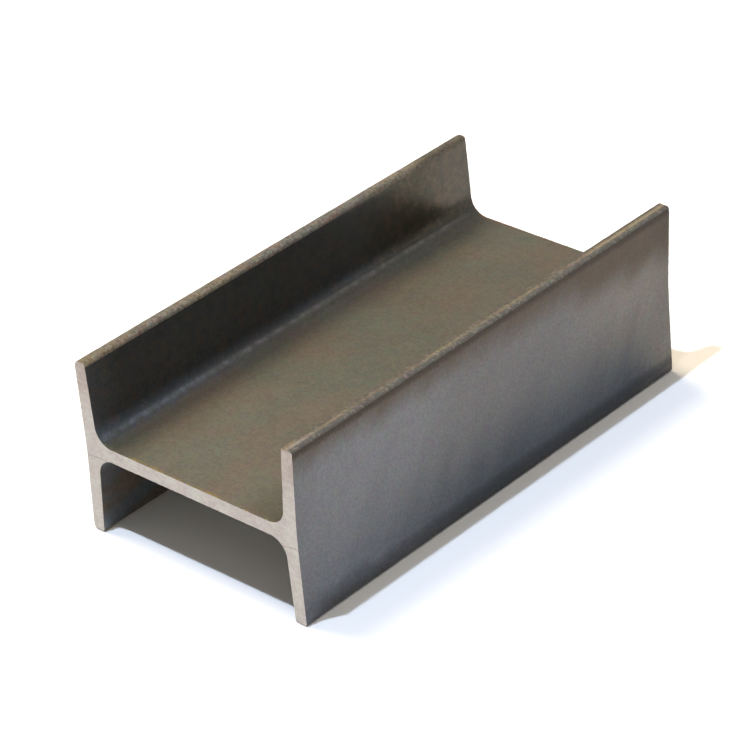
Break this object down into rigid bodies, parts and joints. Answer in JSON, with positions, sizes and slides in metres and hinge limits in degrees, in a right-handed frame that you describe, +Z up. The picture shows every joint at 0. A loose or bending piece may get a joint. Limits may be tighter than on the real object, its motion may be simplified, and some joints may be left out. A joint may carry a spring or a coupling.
{
  "type": "steel h-beam",
  "caption": "Short length of hot-rolled steel H-beam, lying with its web level between upright flanges, with square saw-cut ends.",
  "frame": {"origin": "middle of the rectangle the beam covers on the floor, at the level of the flange toes it stands on", "axes": "+Y along the beam from saw cut to saw cut, +X across the web from one flange to the other, +Z up"},
  "size_m": [0.145, 0.29, 0.1],
  "materials": {
    "mill_scale_steel": "hot-rolled mill scale, satin, with bare saw-cut ends and a little rust along the toes"
  },
  "bodies": {
    "root": {"h_beam": "mill_scale_steel"}
  },
  "joints": []
}
